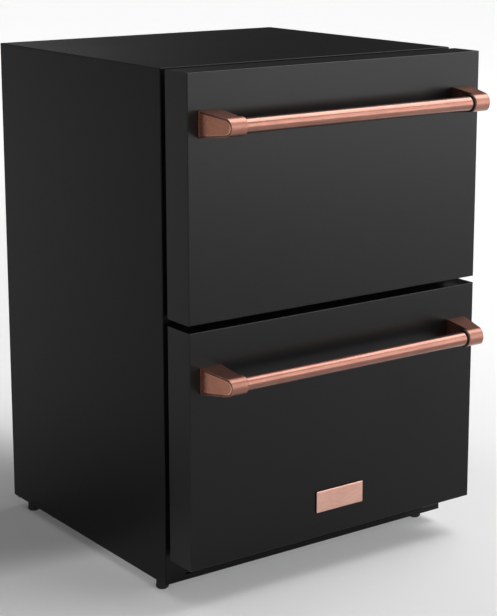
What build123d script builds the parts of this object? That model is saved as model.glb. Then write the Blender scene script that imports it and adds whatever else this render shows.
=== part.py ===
from build123d import *
import math
import os

# Undercounter freezer with two drawers on telescopic rails.
# Sizes are in millimetres. X runs to the right as seen from the front, Y runs towards
# the back and Z runs up. The origin lies on the floor, under the middle of the whole object.

# Cabinet outside
cabinet_width = 600.0
cabinet_depth = 528.0
cabinet_top = 876.0
base_height = 24.0
toe_top = 74.0
steel = 1.0
wrap_edge_radius = 1.5

# Insulated walls and the space inside them
side_wall = 44.0
top_wall = 45.0
back_wall = 58.0
cavity_floor = 95.0
floor_foam = 31.0
liner = 2.0
liner_corner = 14.0
machine_depth = 243.0
hump_top = 300.0
hump_foam = 36.0

# Crossbars that the gaskets close on
mullion_height = 40.0
mullion_depth = 45.0
bottom_bar_depth = 20.0

# Drawer fronts
front_thickness = 61.5
front_top_drop = 1.0
front_bottom = 72.5
front_spacing = 11.7
front_edge_radius = 1.5
inner_panel = 3.0

# Gaskets
gasket_gap = 14.5
gasket_width = 12.0
gasket_pleat = 3.0
gasket_inset = 26.0
gasket_edge = 1.5
gasket_bottom = 6.0
gasket_bands = 5
gasket_groove_width = 3.0
gasket_groove_depth = 2.0
gasket_barb_clearance = 0.2
moving_clearance = 0.3

# Handles
handle_drop = 80.0
handle_reach = 67.0
handle_nose_radius = 15.0
handle_bar_radius = 12.0
bracket_inset = 20.0
bracket_width = 40.0
bracket_slant = 15.7
bracket_base_height = 43.5
collar_length = 7.0
collar_chamfer = 1.5
bar_seat_depth = 20.0
bar_clearance = 0.05
cap_rim = 1.5
cap_groove = 1.2
cap_thickness = 2.0

# Plate on the lower front
plate_width = 100.0
plate_height = 38.0
plate_thickness = 3.0
plate_middle_x = 2.0
plate_middle_z = 135.5
plate_corner = 2.5
plate_chamfer = 0.8

# Telescopic rails
rail_height = 45.0
rail_width = 12.7
rail_steel = 1.2
rail_bend = 1.0
rail_clearance = 0.4
rail_start = 5.0
rail_overhang = 2.0
rail_front_tab = 12.0
upper_rail_drop = 110.0
lower_rail_drop = 60.0

# Tubs
tub_wall = 2.5
tub_corner = 25.0
tub_floor_radius = 10.0
tub_rear_clearance = 5.0
tub_rim = 8.0
tub_rear_rim = 4.0
tub_rim_clearance = 1.0
tub_floor_clearance = 10.0
well_clearance = 15.0
divider_thickness = 3.0
divider_clearance = 0.5
divider_ear_height = 4.0
divider_ear_length = 10.0
upper_divider_place = 200.0
lower_divider_place = 130.0
divider_slots = 9
divider_slot_width = 8.0
divider_slot_margin = 40.0

# Levelling legs and base
leg_inset_x = 21.0
leg_front_inset = 44.0
leg_rear_inset = 36.0
leg_foot_radius = 11.0
leg_neck_radius = 9.5
leg_edge = 2.5
leg_stud_radius = 5.0
leg_stud_clearance = 0.08
leg_stud_length = 26.0
nut_radius = 9.0
nut_height = 12.0
pan_steel = 1.2
pan_flange = 12.0
screw_radius = 4.0
screw_height = 4.5
screw_inset = 5.0
screw_edge = 1.5
screw_places = (140.0, 11.0)

# Toe kick and vent grille
vent_inset = 38.0
vent_low = 33.0
vent_high = 66.0
vent_corner = 4.0
grille_margin = 4.0
grille_depth = 9.0
slat_count = 4
slat_thickness = 1.6
slat_angle = 32.0
grille_ribs = 5

# Rear panel
rear_slot_width = 90.0
rear_slot_height = 5.0
rear_slot_pitch = 16.0
rear_slot_rows = 9
rear_slot_columns = 4
rear_slot_column_pitch = 120.0
rear_slots_low = 105.0
inlet_inset = 70.0
inlet_z = 64.0
inlet_width = 48.0
inlet_height = 28.0
inlet_depth = 24.0
inlet_socket_depth = 16.0
inlet_wall = 4.0
inlet_pin_radius = 1.8
inlet_pin_places = ((-7.0, -2.0), (7.0, -2.0), (0.0, 3.0))

# Compressor
compressor_x = 120.0
compressor_rear_inset = 103.0
compressor_radius = 66.0
compressor_height = 150.0
compressor_shoulder = 30.0
compressor_seam = 3.0
compressor_seam_share = 0.45
compressor_plate = 2.5
compressor_plate_width = 170.0
compressor_plate_depth = 110.0
mount_height = 14.0
mount_radius = 11.0
mount_waist = 8.0
mount_margin = 2.0
stub_length = 14.0
stub_wall = 0.8
stub_overlap = 4.0
discharge_share = 0.72
suction_share = 0.34
drain_pan_width = 140.0
drain_pan_depth = 120.0
drain_pan_height = 22.0
drain_pan_wall = 2.0

# Finned coils
tube_radius = 3.5
fin_thickness = 0.8
fin_inset = 2.0
bend_margin = 0.5
coil_passes = 4
condenser_side_gap = 45.0
condenser_right = 65.0
condenser_rear_inset = 193.0
condenser_depth = 40.0
condenser_height = 200.0
condenser_fins = 14
evaporator_inset = 66.0
evaporator_bottom = 375.0
evaporator_height = 180.0
evaporator_depth = 30.0
evaporator_rear_gap = 28.0
evaporator_fins = 16
end_plate = 1.5
heater_radius = 4.0
heater_drop = 10.0
heater_overhang = 12.0
heater_chamfer = 1.0

# Fans
fan_blades = 5
fan_shaft_radius = 2.5
fan_shaft_clearance = 0.05
fan_blade_thickness = 1.6
fan_root_angle = 38.0
fan_tip_angle = 24.0
fan_root_chord_share = 1.05
fan_tip_chord_share = 2.25
motor_edge = 3.0
condenser_fan_radius = 72.0
condenser_fan_z = 128.0
condenser_fan_hub = 20.0
condenser_motor_radius = 24.0
condenser_motor_length = 36.0
shroud_steel = 2.0
shroud_ring_depth = 20.0
spider_arms = 3
spider_arm_width = 6.0
spider_bore = 5.0
fan_tip_clearance = 4.0
evaporator_fan_radius = 50.0
evaporator_fan_z = 660.0
evaporator_fan_hub = 13.0
evaporator_motor_radius = 18.0
evaporator_motor_length = 20.0
evaporator_motor_foot = 60.0
evaporator_foot_thickness = 3.0
evaporator_blade_depth = 12.0
condenser_blade_depth = 16.0

# Evaporator cover
cover_depth = 46.0
cover_wall = 2.0
cover_side_gap = 2.0
cover_gap = 13.0
cover_slot_height = 6.0
cover_slot_pitch = 12.0
cover_return_slots = 12
cover_slot_low = 12.0
cover_slot_high = 48.0

# Refrigerant lines
suction_radius = 4.0
discharge_radius = 3.0
capillary_radius = 1.5
line_bend = 10.0
capillary_bend = 8.0
capillary_loop = 32.0
drier_radius = 9.0
drier_length = 80.0
drier_cone = 10.0
lines_z = 345.0
line_channel_depth = 15.5
line_channel_half_width = 16.0

# Control panel, buttons and lamp
panel_half_width = 110.0
panel_height = 28.0
panel_start = 6.0
panel_depth = 40.0
panel_wall = 3.0
window_half_width = 50.0
window_middle_x = -45.0
window_height = 16.0
window_recess = 1.0
button_radius = 6.0
button_flange_radius = 7.5
button_flange = 2.0
button_proud = 2.0
button_pitch = 25.0
first_button_x = 35.0
button_count = 3
button_edge = 0.75
lamp_half_width = 120.0
lamp_start = 90.0
lamp_depth = 30.0
lamp_height = 8.0
lamp_edge = 4.0

# Places that follow from the sizes above
overall_depth = handle_reach + front_thickness + gasket_gap + cabinet_depth
cabinet_back = overall_depth / 2
cabinet_front = cabinet_back - cabinet_depth
panel_back = cabinet_front - gasket_gap
panel_face = panel_back - front_thickness
half_width = cabinet_width / 2
cavity_half = half_width - side_wall
cavity_top = cabinet_top - top_wall
cavity_back = cabinet_back - back_wall
hump_y = cabinet_back - machine_depth
duct_ceiling = cavity_floor - liner - floor_foam
compressor_y = cabinet_back - compressor_rear_inset
machine_front = hump_y + liner + hump_foam
machine_ceiling = hump_top - liner - hump_foam
front_top = cabinet_top - front_top_drop
front_height = (front_top - front_bottom - front_spacing) / 2
lower_front_top = front_bottom + front_height
upper_front_bottom = front_top - front_height
mullion_middle = (lower_front_top + upper_front_bottom) / 2
mullion_low = mullion_middle - mullion_height / 2
mullion_high = mullion_middle + mullion_height / 2
pan_top = base_height + pan_steel
tub_half = cavity_half - rail_width
cover_front = cavity_back - cover_depth
tub_back = cover_front - tub_rear_clearance - tub_rear_rim
rail_front = cabinet_front + rail_start
rail_back = tub_back + rail_overhang
evaporator_y = cavity_back - evaporator_rear_gap
bracket_outer = half_width - bracket_inset
bracket_inner = bracket_outer - bracket_width
collar_inner = bracket_inner - collar_length
vent_half_width = half_width - vent_inset
evaporator_half = cavity_half - evaporator_inset
condenser_width = half_width - condenser_side_gap - condenser_right
condenser_x = -condenser_right - condenser_width / 2
inlet_x = half_width - inlet_inset
cover_low = hump_top + cover_gap
cover_top = cavity_top - cover_gap


def block(x, y, z):
    """A box between the low and the high end given for each axis."""
    size = (x[1] - x[0], y[1] - y[0], z[1] - z[0])
    middle = (sum(x) / 2, sum(y) / 2, sum(z) / 2)
    return Pos(*middle) * Box(*size)


def side_prism(points, x, corner=0.0, corners=()):
    """A prism along X whose outline is given as Y, Z points, with some corners rounded."""
    outline = make_face(Polyline(*[(x[0], p[0], p[1]) for p in points], close=True))
    if corner > 0:
        chosen = [Vector(x[0], points[i][0], points[i][1]) for i in corners]
        vertices = [v for v in outline.vertices() if min((Vector(v) - c).length for c in chosen) < 0.01]
        outline = fillet(vertices, corner)
    return extrude(outline, amount=x[1] - x[0], dir=(1, 0, 0))


def rod_y(radius, x, y, z):
    """A round rod along Y between two Y values."""
    return Pos(x, sum(y) / 2, z) * Rot(X=90) * Cylinder(radius, y[1] - y[0])


def rod_x(radius, x, y, z):
    """A round rod along X between two X values."""
    return Pos(sum(x) / 2, y, z) * Rot(Y=90) * Cylinder(radius, x[1] - x[0])


def rod_z(radius, x, y, z):
    """A round rod along Z between two Z values."""
    return Pos(x, y, sum(z) / 2) * Cylinder(radius, z[1] - z[0])


def mirrored(solid):
    """The same piece on the other side of the object."""
    return mirror(solid, about=Plane.YZ)


def turned_profile(points, x, y):
    """A solid of revolution about the vertical through x, y, from radius, height points."""
    outline = make_face(Polyline(*[(x + p[0], y, p[1]) for p in points], close=True))
    return revolve(outline, axis=Axis((x, y, 0), (0, 0, 1)))


def bent_tube(points, radius, bend):
    """A tube along straight runs joined by round bends."""
    path = FilletPolyline(*points, radius=bend)
    start = Plane(origin=path @ 0, z_dir=path % 0)
    return sweep(start * Circle(radius), path=path)


# Cabinet


def cavity_points(grow):
    """Outline of the cold space from the side, grown outwards by a wall."""
    floor = cavity_floor - grow
    step = hump_y + grow
    shelf = hump_top - grow
    return [
        (cabinet_front, floor),
        (step, floor),
        (step, shelf),
        (cavity_back + grow, shelf),
        (cavity_back + grow, cavity_top + grow),
        (cabinet_front, cavity_top + grow),
    ]


def cavity_body(grow, corner):
    """The cold space as a solid, grown outwards by a wall."""
    half = cavity_half + grow
    return side_prism(cavity_points(grow), (-half, half), corner, (1, 3, 4))


def line_channel():
    """The groove in the foam's back and the hole that the refrigerant lines pass through."""
    middle = suction_x + line_channel_half_width / 2
    x = (middle - line_channel_half_width, middle + line_channel_half_width)
    back = cabinet_back - steel
    groove = block(x, (back - line_channel_depth, back), (machine_ceiling, lines_z + line_bend))
    hole = block(x, (cavity_back, back), (lines_z - line_bend, lines_z + line_bend))
    return groove + hole


def cabinet_wrap():
    outer = block((-half_width, half_width), (cabinet_front, cabinet_back), (base_height, cabinet_top))
    folds = outer.edges().filter_by(Axis.Y).group_by(Axis.Z)[-1]
    folds += outer.edges().filter_by(Axis.Z).group_by(Axis.Y)[0]
    folds += outer.edges().filter_by(Axis.X).group_by(Axis.Y)[0].group_by(Axis.Z)[-1]
    outer = fillet(folds, wrap_edge_radius)
    inner_half = half_width - steel
    inner = block(
        (-inner_half, inner_half),
        (cabinet_front + steel, cabinet_back),
        (base_height, cabinet_top - steel),
    )
    opening_half = cavity_half + liner
    opening = block(
        (-opening_half, opening_half),
        (cabinet_front, cabinet_front + steel),
        (toe_top, cavity_top + liner),
    )
    toe_space = block(
        (-inner_half, inner_half),
        (cabinet_front, cabinet_front + steel),
        (base_height, toe_top),
    )
    return outer - inner - opening - toe_space


def cabinet_foam():
    front = cabinet_front + steel
    back = cabinet_back - steel
    top = cabinet_top - steel
    step = cabinet_front + bottom_bar_depth
    outline = [
        (front, toe_top),
        (step, toe_top),
        (step, duct_ceiling),
        (machine_front, duct_ceiling),
        (machine_front, machine_ceiling),
        (back, machine_ceiling),
        (back, top),
        (front, top),
    ]
    half = half_width - steel
    foam = side_prism(outline, (-half, half))
    return foam - cavity_body(liner, 0) - bottom_bar_space() - line_channel()


def inner_liner():
    return cavity_body(liner, liner_corner) - cavity_body(0, liner_corner - liner) - line_channel()


def bottom_bar_space():
    half = cavity_half + liner
    return block(
        (-half, half),
        (cabinet_front, cabinet_front + bottom_bar_depth),
        (toe_top, cavity_floor - liner),
    )


def bottom_bar():
    half = cavity_half + liner
    hollow = block(
        (-half, half),
        (cabinet_front + steel, cabinet_front + bottom_bar_depth),
        (toe_top + steel, cavity_floor - liner - steel),
    )
    return bottom_bar_space() - hollow


def mullion_bar():
    bar = block(
        (-cavity_half, cavity_half),
        (cabinet_front, cabinet_front + mullion_depth),
        (mullion_low, mullion_high),
    )
    hollow = block(
        (-cavity_half + steel, cavity_half - steel),
        (cabinet_front + steel, cabinet_front + mullion_depth),
        (mullion_low + steel, mullion_high - steel),
    )
    return bar - hollow


def rear_panel():
    half = half_width - steel
    back = (cabinet_back - steel, cabinet_back)
    panel = block((-half, half), back, (base_height, cabinet_top - steel))
    slots_middle_z = rear_slots_low + (rear_slot_rows - 1) * rear_slot_pitch / 2
    places = GridLocations(rear_slot_column_pitch, rear_slot_pitch, rear_slot_columns, rear_slot_rows)
    slots = []
    for place in places:
        x = place.position.X
        z = slots_middle_z + place.position.Y
        slot = block(
            (x - rear_slot_width / 2, x + rear_slot_width / 2),
            back,
            (z - rear_slot_height / 2, z + rear_slot_height / 2),
        )
        slots.append(slot)
    return panel - slots - inlet_space(0)


def inlet_space(wall):
    return block(
        (inlet_x - inlet_width / 2 + wall, inlet_x + inlet_width / 2 - wall),
        (cabinet_back - inlet_depth, cabinet_back),
        (inlet_z - inlet_height / 2 + wall, inlet_z + inlet_height / 2 - wall),
    )


def cord_inlet():
    socket_low = cabinet_back - inlet_socket_depth
    socket = inlet_space(inlet_wall) & block(
        (-half_width, half_width), (socket_low, cabinet_back), (base_height, toe_top + inlet_height)
    )
    body = inlet_space(0) - socket
    for x, z in inlet_pin_places:
        pin = rod_y(inlet_pin_radius, inlet_x + x, (socket_low, cabinet_back - inlet_wall), inlet_z + z)
        body += pin
    return body


# Base, legs and toe kick


def leg_places():
    x = half_width - leg_inset_x
    places = {}
    for end, y in (("front", cabinet_front + leg_front_inset), ("rear", cabinet_back - leg_rear_inset)):
        places["levelling_leg_" + end + "_left"] = (-x, y)
        places["levelling_leg_" + end + "_right"] = (x, y)
    return places


def base_pan():
    half = half_width - steel
    depth = (cabinet_front + steel, cabinet_back - steel)
    tray = block((-half, half), depth, (base_height, pan_top + pan_flange))
    tray -= block(
        (-half + pan_steel, half - pan_steel),
        depth,
        (pan_top, pan_top + pan_flange),
    )
    bore = leg_stud_radius + leg_stud_clearance
    for x, y in leg_places().values():
        tray += rod_z(nut_radius, x, y, (pan_top, pan_top + nut_height))
        tray -= rod_z(bore, x, y, (base_height, pan_top + nut_height))
    return tray


def levelling_leg(x, y):
    neck = base_height - moving_clearance
    foot = turned_profile(
        [
            (0, 0),
            (leg_foot_radius - leg_edge, 0),
            (leg_foot_radius, leg_edge),
            (leg_neck_radius, neck),
            (0, neck),
        ],
        x,
        y,
    )
    return foot + rod_z(leg_stud_radius, x, y, (neck, neck + leg_stud_length))


def base_screws():
    screws = []
    for side in (-1, 1):
        x = side * (half_width - screw_inset)
        for place in screw_places:
            y = cabinet_back - place
            head = rod_z(screw_radius, x, y, (base_height - screw_height, base_height))
            lower_edge = head.edges().group_by(Axis.Z)[0]
            screws.append(fillet(lower_edge, screw_edge))
    return screws


def toe_kick_plate():
    half = half_width - steel
    depth = (cabinet_front, cabinet_front + steel)
    plate = block((-half, half), depth, (base_height, toe_top))
    vent = block((-vent_half_width, vent_half_width), depth, (vent_low, vent_high))
    return plate - fillet(vent.edges().filter_by(Axis.Y), vent_corner)


def toe_grille():
    front = cabinet_front + steel
    depth = (front, front + grille_depth)
    low = vent_low - grille_margin
    high = vent_high + grille_margin
    half = vent_half_width + 2 * grille_margin
    frame = block((-half, half), depth, (low, high))
    frame -= block((-vent_half_width, vent_half_width), depth, (vent_low, vent_high))
    rise = grille_depth * math.tan(math.radians(slat_angle))
    upright = slat_thickness / math.cos(math.radians(slat_angle))
    pitch = (vent_high - vent_low - rise) / slat_count
    for i in range(slat_count):
        z = vent_low + (i + 0.5) * pitch
        outline = [
            (depth[0], z),
            (depth[0], z + upright),
            (depth[1], z + upright + rise),
            (depth[1], z + rise),
        ]
        frame += side_prism(outline, (-vent_half_width, vent_half_width))
    rib_pitch = 2 * vent_half_width / (grille_ribs + 1)
    for i in range(grille_ribs):
        x = -vent_half_width + (i + 1) * rib_pitch
        rib = block(
            (x - slat_thickness / 2, x + slat_thickness / 2),
            (depth[0] + slat_thickness, depth[1]),
            (vent_low, vent_high),
        )
        frame += rib
    return frame


# Machine space: compressor, condenser and fan


def compressor_low():
    return pan_top + mount_height + compressor_plate


def compressor_stub(z):
    """A short tube on the compressor's left side, which a refrigerant line is brazed to."""
    x = compressor_x - compressor_radius
    return (x - stub_length, compressor_y, z)


def compressor():
    low = compressor_low()
    high = low + compressor_height
    outline = make_face(
        Polyline(
            (compressor_x, compressor_y, low),
            (compressor_x + compressor_radius, compressor_y, low),
            (compressor_x + compressor_radius, compressor_y, high),
            (compressor_x, compressor_y, high),
            close=True,
        )
    )
    outer = outline.vertices().group_by(Axis.X)[-1]
    shell = revolve(
        fillet(outer, compressor_shoulder),
        axis=Axis((compressor_x, compressor_y, 0), (0, 0, 1)),
    )
    seam_z = low + compressor_height * compressor_seam_share
    shell += rod_z(
        compressor_radius + compressor_seam, compressor_x, compressor_y, (seam_z, seam_z + compressor_seam)
    )
    shell += block(
        (compressor_x - compressor_plate_width / 2, compressor_x + compressor_plate_width / 2),
        (compressor_y - compressor_plate_depth / 2, compressor_y + compressor_plate_depth / 2),
        (low - compressor_plate, low),
    )
    for z, radius in ((discharge_z, discharge_radius), (suction_z, suction_radius)):
        x = compressor_stub(z)[0]
        shell += rod_x(radius + stub_wall, (x, x + stub_length + stub_overlap), compressor_y, z)
    return shell


def compressor_mounts():
    mounts = []
    high = pan_top + mount_height
    middle = pan_top + mount_height / 2
    inset = mount_radius + mount_margin
    for side_x in (-1, 1):
        for side_y in (-1, 1):
            x = compressor_x + side_x * (compressor_plate_width / 2 - inset)
            y = compressor_y + side_y * (compressor_plate_depth / 2 - inset)
            outline = [
                (0, pan_top),
                (mount_radius, pan_top),
                (mount_waist, middle),
                (mount_radius, high),
                (0, high),
            ]
            mounts.append(turned_profile(outline, x, y))
    return mounts


def drain_pan():
    low = compressor_low() + compressor_height
    x = (compressor_x - drain_pan_width / 2, compressor_x + drain_pan_width / 2)
    y = (compressor_y - drain_pan_depth / 2, compressor_y + drain_pan_depth / 2)
    tray = block(x, y, (low, low + drain_pan_height))
    wall = drain_pan_wall
    hollow = block(
        (x[0] + wall, x[1] - wall),
        (y[0] + wall, y[1] - wall),
        (low + wall, low + drain_pan_height),
    )
    return tray - hollow


def coil_tube(x, y, z, height):
    """A serpentine tube, with both ends on the right-hand side."""
    pitch = height / coil_passes
    bend = pitch / 2 - bend_margin
    level = z + pitch / 2
    points = [(x[1] + tube_radius, y, level)]
    for i in range(coil_passes - 1):
        turn = x[1] + bend if i % 2 else x[0] - bend
        points.append((turn, y, level))
        level += pitch
        points.append((turn, y, level))
    points.append((x[1] + tube_radius, y, level))
    return bent_tube(points, tube_radius, bend)


def finned_coil(x, y, z, fins, feet):
    """A serpentine tube through thin fins, between two end plates that stand on feet."""
    middle_y = sum(y) / 2
    coil = coil_tube((x[0], x[1]), middle_y, z[0], z[1] - z[0])
    for end in (x[0], x[1] - end_plate):
        coil += block((end, end + end_plate), y, (feet, z[1]))
    pitch = (x[1] - x[0]) / (fins + 1)
    for i in range(fins):
        place = x[0] + (i + 1) * pitch
        coil += block(
            (place - fin_thickness / 2, place + fin_thickness / 2),
            (y[0] + fin_inset, y[1] - fin_inset),
            z,
        )
    return coil


def condenser_box():
    x = (condenser_x - condenser_width / 2, condenser_x + condenser_width / 2)
    start = cabinet_back - condenser_rear_inset
    y = (start, start + condenser_depth)
    z = (pan_top + tube_radius, pan_top + tube_radius + condenser_height)
    return x, y, z


def condenser_coil():
    x, y, z = condenser_box()
    return finned_coil(x, y, z, condenser_fins, pan_top)


def fan_shroud():
    x, y, z = condenser_box()
    start = y[1]
    plate = block(x, (start, start + shroud_steel), (pan_top, z[1]))
    inner = condenser_fan_radius + fan_tip_clearance
    ring = (start, start + shroud_steel + shroud_ring_depth)
    plate += rod_y(inner + shroud_steel, condenser_x, ring, condenser_fan_z)
    plate -= rod_y(inner, condenser_x, ring, condenser_fan_z)
    spider = (ring[1], ring[1] + shroud_steel)
    arms = rod_y(inner + shroud_steel, condenser_x, spider, condenser_fan_z)
    arms -= rod_y(inner - shroud_steel, condenser_x, spider, condenser_fan_z)
    hub = rod_y(condenser_motor_radius, condenser_x, spider, condenser_fan_z)
    for i in range(spider_arms):
        turn = 90 + i * 360 / spider_arms
        arm = Pos(condenser_x, sum(spider) / 2, condenser_fan_z) * Rot(Y=-turn)
        hub += arm * Pos(inner / 2, 0, 0) * Box(inner, shroud_steel, spider_arm_width)
    hub -= rod_y(spider_bore, condenser_x, spider, condenser_fan_z)
    return plate + arms + hub


def fan_motor(radius, x, y, z, shaft_start):
    """A round motor whose shaft reaches forward through the fan's hub."""
    body = rod_y(radius, x, y, z)
    body = fillet(body.edges().filter_by(GeomType.CIRCLE).group_by(Axis.Y)[-1], motor_edge)
    return body + rod_y(fan_shaft_radius, x, (shaft_start, y[0]), z)


def condenser_spider_back():
    return condenser_box()[1][1] + 2 * shroud_steel + shroud_ring_depth


def condenser_blade_range():
    middle = condenser_box()[1][1] + shroud_steel + shroud_ring_depth / 2
    return middle - condenser_blade_depth / 2, middle + condenser_blade_depth / 2


def condenser_fan_motor():
    start = condenser_spider_back()
    y = (start, start + condenser_motor_length)
    shaft = condenser_blade_range()[0]
    return fan_motor(condenser_motor_radius, condenser_x, y, condenser_fan_z, shaft)


def fan_wheel(radius, hub_radius, x, y, z):
    """A hub with twisted blades, bored for the motor's shaft."""
    depth = y[1] - y[0]
    wheel = Cylinder(hub_radius, depth)
    thick = fan_blade_thickness
    root = Plane(origin=(hub_radius - thick, 0, 0), x_dir=(0, 1, 0), z_dir=(1, 0, 0))
    tip = Plane(origin=(radius, 0, 0), x_dir=(0, 1, 0), z_dir=(1, 0, 0))
    sections = [
        root * Rot(Z=fan_root_angle) * Rectangle(depth * fan_root_chord_share, thick),
        tip * Rot(Z=fan_tip_angle) * Rectangle(depth * fan_tip_chord_share, thick),
    ]
    blade = loft(sections)
    for i in range(fan_blades):
        wheel += Rot(Z=i * 360 / fan_blades) * blade
    wheel &= Cylinder(radius, depth)
    wheel -= Cylinder(fan_shaft_radius + fan_shaft_clearance, depth)
    return Pos(x, sum(y) / 2, z) * Rot(X=90) * wheel


def condenser_fan_blade():
    return fan_wheel(
        condenser_fan_radius, condenser_fan_hub, condenser_x, condenser_blade_range(), condenser_fan_z
    )


# Places where the refrigerant lines leave the compressor
discharge_z = compressor_low() + compressor_height * discharge_share
suction_z = compressor_low() + compressor_height * suction_share
suction_x = compressor_stub(suction_z)[0] - 2 * line_bend


def refrigerant_lines():
    """Discharge, liquid and suction lines, and the filter drier in the liquid line."""
    x, y, z = condenser_box()
    coil_y = sum(y) / 2
    pitch = (z[1] - z[0]) / coil_passes
    coil_end = x[1] + tube_radius
    top = z[1] - pitch / 2
    bottom = z[0] + pitch / 2
    stub = compressor_stub(discharge_z)
    column = stub[0] - 4 * line_bend
    discharge = bent_tube(
        [
            (coil_end, coil_y, top),
            (column, coil_y, top),
            (column, stub[1], top),
            (column, stub[1], stub[2]),
            stub,
        ],
        discharge_radius,
        line_bend,
    )
    drier_start = coil_end + drier_radius
    drier_end = drier_start + drier_length
    drier = rod_x(drier_radius, (drier_start, drier_end), coil_y, bottom)
    drier = chamfer(drier.edges().filter_by(GeomType.CIRCLE), drier_cone, drier_radius - tube_radius)
    drier += rod_x(tube_radius, (coil_end, drier_start), coil_y, bottom)
    back = cabinet_back - steel - line_channel_depth / 2
    capillary_x = suction_x + line_channel_half_width
    loop_x = drier_end + capillary_loop
    loop_z = compressor_low() + compressor_height + 2 * drain_pan_height
    capillary = bent_tube(
        [
            (drier_end, coil_y, bottom),
            (loop_x, coil_y, bottom),
            (loop_x, coil_y, loop_z),
            (capillary_x, coil_y, loop_z),
            (capillary_x, back, loop_z),
            (capillary_x, back, lines_z),
            (capillary_x, evaporator_y + suction_radius + moving_clearance, lines_z),
        ],
        capillary_radius,
        capillary_bend,
    )
    stub = compressor_stub(suction_z)
    evaporator_end = evaporator_half + tube_radius
    outlet_z = evaporator_bottom + evaporator_height / coil_passes / 2
    suction = bent_tube(
        [
            stub,
            (suction_x, stub[1], stub[2]),
            (suction_x, back, stub[2]),
            (suction_x, back, lines_z),
            (suction_x, evaporator_y, lines_z),
            (evaporator_end + 2 * line_bend, evaporator_y, lines_z),
            (evaporator_end + 2 * line_bend, evaporator_y, outlet_z),
            (evaporator_end, evaporator_y, outlet_z),
        ],
        suction_radius,
        line_bend,
    )
    return [discharge, drier, capillary, suction]


# Cold side: evaporator, heater, fan and cover


def evaporator_box():
    x = (-evaporator_half, evaporator_half)
    y = (evaporator_y - evaporator_depth / 2, evaporator_y + evaporator_depth / 2)
    z = (evaporator_bottom, evaporator_bottom + evaporator_height)
    return x, y, z


def heater_place():
    x, y, z = evaporator_box()
    return y[0] + 2 * heater_radius, z[0] - heater_drop


def evaporator_coil():
    x, y, z = evaporator_box()
    coil = finned_coil(x, y, z, evaporator_fins, cover_low + cover_wall)
    heater_y, heater_z = heater_place()
    reach = (x[0] - end_plate, x[1] + end_plate)
    coil -= rod_x(heater_radius + moving_clearance, reach, heater_y, heater_z)
    return coil - rod_x(suction_radius + moving_clearance, reach, sum(y) / 2, lines_z)


def defrost_heater():
    x, y, z = evaporator_box()
    heater_y, heater_z = heater_place()
    rod = rod_x(heater_radius, (x[0] - heater_overhang, x[1] + heater_overhang), heater_y, heater_z)
    return chamfer(rod.edges().filter_by(GeomType.CIRCLE), heater_chamfer)


def evaporator_blade_range():
    start = cover_front + cover_wall + fan_tip_clearance
    return start, start + evaporator_blade_depth


def evaporator_fan_motor():
    end = cavity_back - evaporator_foot_thickness
    y = (end - evaporator_motor_length, end)
    motor = fan_motor(evaporator_motor_radius, 0, y, evaporator_fan_z, evaporator_blade_range()[0])
    half = evaporator_motor_foot / 2
    foot = block((-half, half), (end, cavity_back), (evaporator_fan_z - half, evaporator_fan_z + half))
    return motor + foot


def evaporator_fan_blade():
    return fan_wheel(
        evaporator_fan_radius, evaporator_fan_hub, 0, evaporator_blade_range(), evaporator_fan_z
    )


def evaporator_cover():
    half = cavity_half - cover_side_gap
    cover = block((-half, half), (cover_front, cavity_back), (cover_low, cover_top))
    cover -= block(
        (-half + cover_wall, half - cover_wall),
        (cover_front + cover_wall, cavity_back),
        (cover_low + cover_wall, cover_top - cover_wall),
    )
    face = (cover_front, cover_front + cover_wall)
    rows = int(evaporator_fan_radius / cover_slot_pitch)
    for i in range(-rows, rows + 1):
        level = i * cover_slot_pitch
        reach = math.sqrt(evaporator_fan_radius**2 - level**2)
        z = evaporator_fan_z + level
        cover -= block((-reach, reach), face, (z - cover_slot_height / 2, z + cover_slot_height / 2))
    return_pitch = 2 * half / (cover_return_slots + 1)
    for i in range(cover_return_slots):
        x = -half + (i + 1) * return_pitch
        cover -= block(
            (x - cover_slot_height / 2, x + cover_slot_height / 2),
            face,
            (cover_low + cover_slot_low, cover_low + cover_slot_high),
        )
    return cover


# Control panel and lamp


def control_panel():
    front = cabinet_front + panel_start
    x = (-panel_half_width, panel_half_width)
    y = (front, front + panel_depth)
    z = (cavity_top - panel_height, cavity_top)
    panel = block(x, y, z)
    wall = panel_wall
    panel -= block(
        (x[0] + wall, x[1] - wall), (y[0] + wall, y[1] - wall), (z[0] + wall, z[1] - wall)
    )
    middle = sum(z) / 2
    panel -= block(
        (window_middle_x - window_half_width, window_middle_x + window_half_width),
        (y[0], y[0] + window_recess),
        (middle - window_height / 2, middle + window_height / 2),
    )
    for i in range(button_count):
        place = first_button_x + i * button_pitch
        panel -= rod_y(button_radius + moving_clearance, place, (y[0], y[0] + wall), middle)
    return panel


def control_button(number):
    front = cabinet_front + panel_start
    x = first_button_x + number * button_pitch
    z = cavity_top - panel_height / 2
    inside = front + panel_wall + moving_clearance
    cap = rod_y(button_radius, x, (front - button_proud, inside + button_flange), z)
    cap = fillet(cap.edges().filter_by(GeomType.CIRCLE).group_by(Axis.Y)[0], button_edge)
    return cap + rod_y(button_flange_radius, x, (inside, inside + button_flange), z)


def led_lamp():
    start = cabinet_front + lamp_start
    lamp = block(
        (-lamp_half_width, lamp_half_width),
        (start, start + lamp_depth),
        (cavity_top - lamp_height, cavity_top),
    )
    return fillet(lamp.edges().filter_by(Axis.X).group_by(Axis.Z)[0], lamp_edge)


# Telescopic rails


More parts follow.
